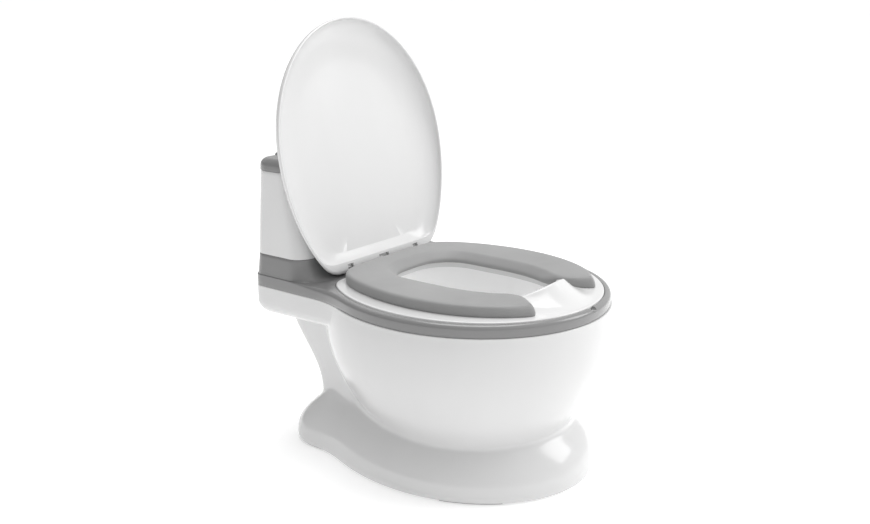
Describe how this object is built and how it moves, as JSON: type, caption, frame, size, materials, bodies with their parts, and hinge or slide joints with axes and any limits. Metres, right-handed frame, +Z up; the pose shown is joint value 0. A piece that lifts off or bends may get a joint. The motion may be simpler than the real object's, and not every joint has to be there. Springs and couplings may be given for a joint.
{
  "type": "potty training chair",
  "caption": "Toddler potty shaped like a small toilet: hinged lid, padded seat with a splash guard, lift-out pot, and a tank whose hinged top holds a flush sound button.",
  "frame": {"origin": "on the floor, under the middle of the whole object with its lid standing open", "axes": "+Z up, the sitter faces -Y, the tank stands at +Y, +X is the sitter's left"},
  "size_m": [0.2984, 0.3772, 0.4802],
  "materials": {
    "white_plastic": "glossy moulded plastic",
    "grey_plastic": "glossy moulded plastic",
    "cushion_skin": "satin skin on soft foam",
    "inner_plastic": "as moulded",
    "dark_plastic": "as moulded",
    "pad_rubber": "soft, fine grain",
    "screw_steel": "zinc plated",
    "pin_steel": "drawn wire",
    "contact_steel": "nickel plated spring wire and strip",
    "board_laminate": "solder mask over laminate",
    "cell_jacket": "printed jacket left plain"
  },
  "bodies": {
    "base": {"base_shell": "white_plastic", "rim_screws": "screw_steel", "foot_pad_front_right": "pad_rubber", "foot_pad_front_left": "pad_rubber", "foot_pad_rear_right": "pad_rubber", "foot_pad_rear_left": "pad_rubber", "top_deck": "grey_plastic", "lid_hinge_pins": "pin_steel", "tank_shell": "white_plastic", "tank_screws": "screw_steel", "tank_buffers": "pad_rubber", "tank_hinge_pins": "pin_steel"},
    "lid": {"lid_shell": "white_plastic"},
    "pot": {"pot": "white_plastic"},
    "seat": {"seat_ring": "white_plastic"},
    "cushion": {"seat_cushion": "cushion_skin", "cushion_plate": "inner_plastic", "cushion_pegs": "inner_plastic"},
    "tank_lid": {"tank_lid": "grey_plastic", "unit_housing": "inner_plastic", "unit_screws": "screw_steel", "sound_board": "board_laminate", "button_switch": "dark_plastic", "speaker": "dark_plastic", "battery_cells": "cell_jacket", "battery_contacts": "contact_steel", "battery_cover": "inner_plastic", "battery_cover_screw": "screw_steel", "button_bezel": "white_plastic", "button_spring": "contact_steel"},
    "flush_button": {"flush_button": "white_plastic"}
  },
  "joints": [
    {"name": "lid_hinge", "type": "hinge", "parent": "base", "child": "lid", "pos_m": [0, 0.0977, 0.2065], "axis": [-1, 0, 0], "range_deg": [-100.4, 0]},
    {"name": "pot_lift", "type": "slide", "parent": "base", "child": "pot", "axis": [0, 0, 1], "range_m": [0, 0.12]},
    {"name": "seat_lift", "type": "slide", "parent": "pot", "child": "seat", "axis": [0, 0, 1], "range_m": [0, 0.05]},
    {"name": "cushion_lift", "type": "slide", "parent": "seat", "child": "cushion", "axis": [0, 0, 1], "range_m": [0, 0.04]},
    {"name": "tank_lid_hinge", "type": "hinge", "parent": "base", "child": "tank_lid", "pos_m": [0, 0.1815, 0.327], "axis": [-1, 0, 0], "range_deg": [0, 95]},
    {"name": "flush_press", "type": "slide", "parent": "tank_lid", "child": "flush_button", "axis": [0, 0, -1], "range_m": [0, 0.0025], "stiffness_N_per_m": 300, "springref_m": -0.004, "deforming": ["button_spring"]}
  ]
}
